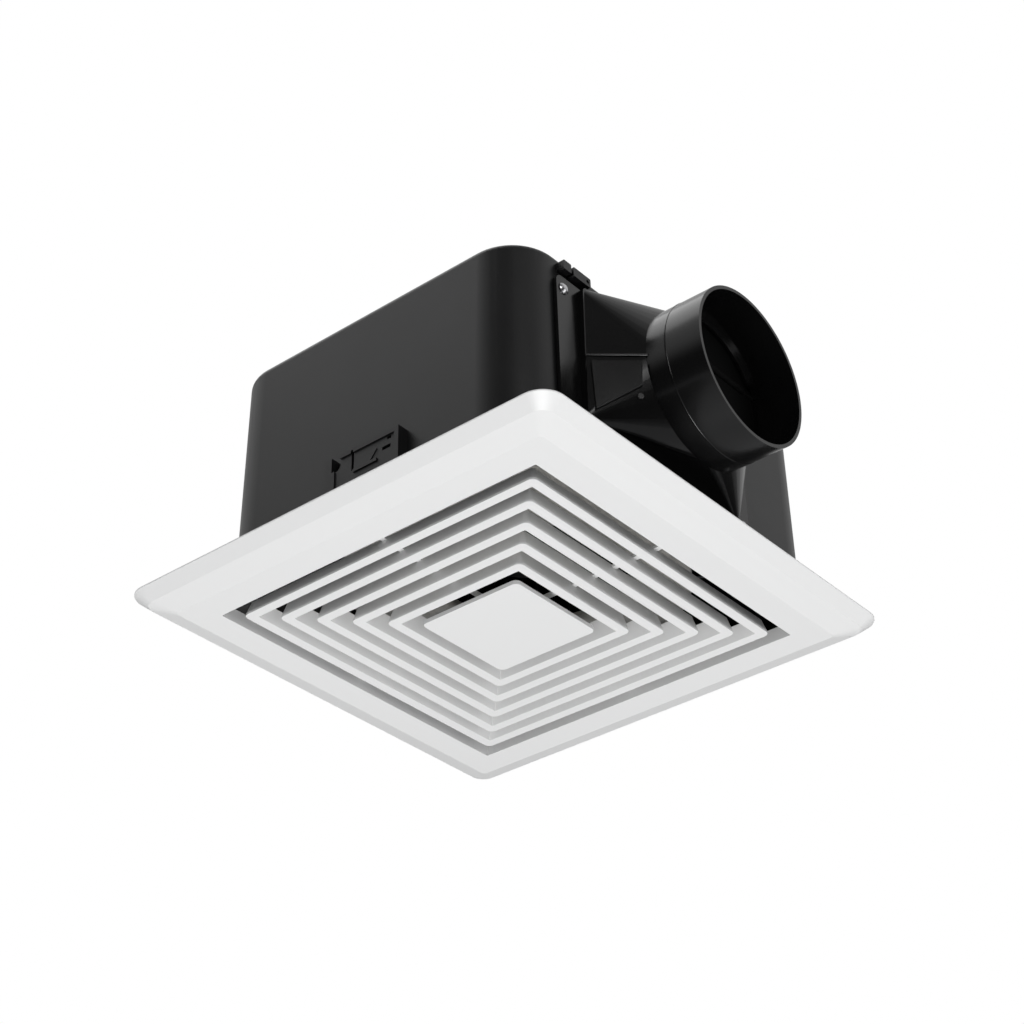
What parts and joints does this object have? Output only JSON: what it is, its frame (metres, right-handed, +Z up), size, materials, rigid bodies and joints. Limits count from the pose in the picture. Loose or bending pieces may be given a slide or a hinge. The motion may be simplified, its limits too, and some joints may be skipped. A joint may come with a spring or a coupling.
{
  "type": "ceiling exhaust fan",
  "caption": "Ceiling exhaust fan: square louvred grille under a boxed centrifugal fan, with a round duct collar on one side and a backdraft flap.",
  "frame": {"origin": "centre of the housing's mounting flange, in the plane of its upper face, which lies against the ceiling", "axes": "+Z up into the ceiling space, +X towards the duct collar, +Y across it"},
  "size_m": [0.3554, 0.32, 0.1483],
  "materials": {
    "black_satin": "satin moulded",
    "black_gloss": "glossy moulded",
    "foam": "closed-cell foam",
    "dark_plastic": "moulded",
    "grey_plastic": "moulded",
    "steel_pin": "ground",
    "zinc_sheet": "zinc-coated sheet",
    "rubber_black": "moulded",
    "core_steel": "laminated",
    "copper_wire": "enamelled copper",
    "bronze": "sintered bronze",
    "cream_plastic": "moulded",
    "brass_screw": "nickel-free brass",
    "capacitor_case": "moulded case",
    "red_insulation": "wire insulation",
    "white_abs": "fine satin moulded",
    "spring_wire": "drawn wire",
    "zinc_screw": "bright zinc"
  },
  "bodies": {
    "base": {"housing": "black_satin", "duct_adapter": "black_gloss", "adapter_gasket": "foam", "adapter_screws": "zinc_screw", "adapter_clip": "black_satin", "scroll_casing": "dark_plastic", "scroll_screws": "zinc_screw", "inlet_plate": "zinc_sheet", "inlet_screws": "zinc_screw", "motor_plate": "zinc_sheet", "motor_bushes": "rubber_black", "motor_screws": "zinc_screw", "motor_upper_cover": "zinc_sheet", "motor_lower_cover": "zinc_sheet", "stator_core": "core_steel", "stator_windings": "copper_wire", "motor_bearings": "bronze", "motor_bolts": "zinc_screw", "motor_nuts": "zinc_screw", "cable_gland": "rubber_black", "terminal_block": "cream_plastic", "terminal_screws": "brass_screw", "block_screws": "zinc_screw", "wiring_cover": "zinc_sheet", "cover_screw": "zinc_screw", "capacitor": "capacitor_case", "capacitor_screw": "zinc_screw", "motor_leads": "red_insulation", "spring_bracket_front": "zinc_sheet", "spring_bracket_rear": "zinc_sheet", "bracket_screws": "zinc_screw"},
    "rotor": {"motor_shaft": "steel_pin", "rotor_core": "core_steel", "impeller": "dark_plastic", "impeller_washer": "zinc_screw", "impeller_nut": "zinc_screw"},
    "damper": {"damper_flap": "grey_plastic", "damper_pin": "steel_pin"},
    "grille": {"grille": "white_abs", "spring_coils": "spring_wire"},
    "leg_front_left": {"spring_leg_fl": "spring_wire"},
    "leg_front_right": {"spring_leg_fr": "spring_wire"},
    "leg_rear_left": {"spring_leg_rl": "spring_wire"},
    "leg_rear_right": {"spring_leg_rr": "spring_wire"}
  },
  "joints": [
    {"name": "impeller_spin", "type": "hinge", "parent": "base", "child": "rotor", "pos_m": [-0.008, 0.018, 0.08], "axis": [0, 0, 1], "continuous": true},
    {"name": "damper_swing", "type": "hinge", "parent": "base", "child": "damper", "pos_m": [0.1526, -0.02, 0.088], "axis": [0, -1, 0], "range_deg": [0, 60]},
    {"name": "grille_drop", "type": "slide", "parent": "base", "child": "grille", "axis": [0, 0, -1], "range_m": [0, 0.06], "stiffness_N_per_m": 40, "springref_m": -0.15},
    {"name": "leg_front_left_swing", "type": "hinge", "parent": "grille", "child": "leg_front_left", "pos_m": [-0.0124, -0.13523, -0.0025], "axis": [0, -1, 0], "range_deg": [-27.2, 0]},
    {"name": "leg_front_right_swing", "type": "hinge", "parent": "grille", "child": "leg_front_right", "pos_m": [-0.0124, -0.12477, -0.0025], "axis": [0, 1, 0], "range_deg": [-27.2, 0]},
    {"name": "leg_rear_left_swing", "type": "hinge", "parent": "grille", "child": "leg_rear_left", "pos_m": [-0.0124, 0.13523, -0.0025], "axis": [0, -1, 0], "range_deg": [-27.2, 0]},
    {"name": "leg_rear_right_swing", "type": "hinge", "parent": "grille", "child": "leg_rear_right", "pos_m": [-0.0124, 0.12477, -0.0025], "axis": [0, 1, 0], "range_deg": [-27.2, 0]}
  ],
  "couplings": [
    {"joint": "leg_front_left_swing", "follows": "grille_drop", "rad_per_m": -7.837},
    {"joint": "leg_front_right_swing", "follows": "grille_drop", "rad_per_m": -7.837},
    {"joint": "leg_rear_left_swing", "follows": "grille_drop", "rad_per_m": -7.837},
    {"joint": "leg_rear_right_swing", "follows": "grille_drop", "rad_per_m": -7.837}
  ]
}
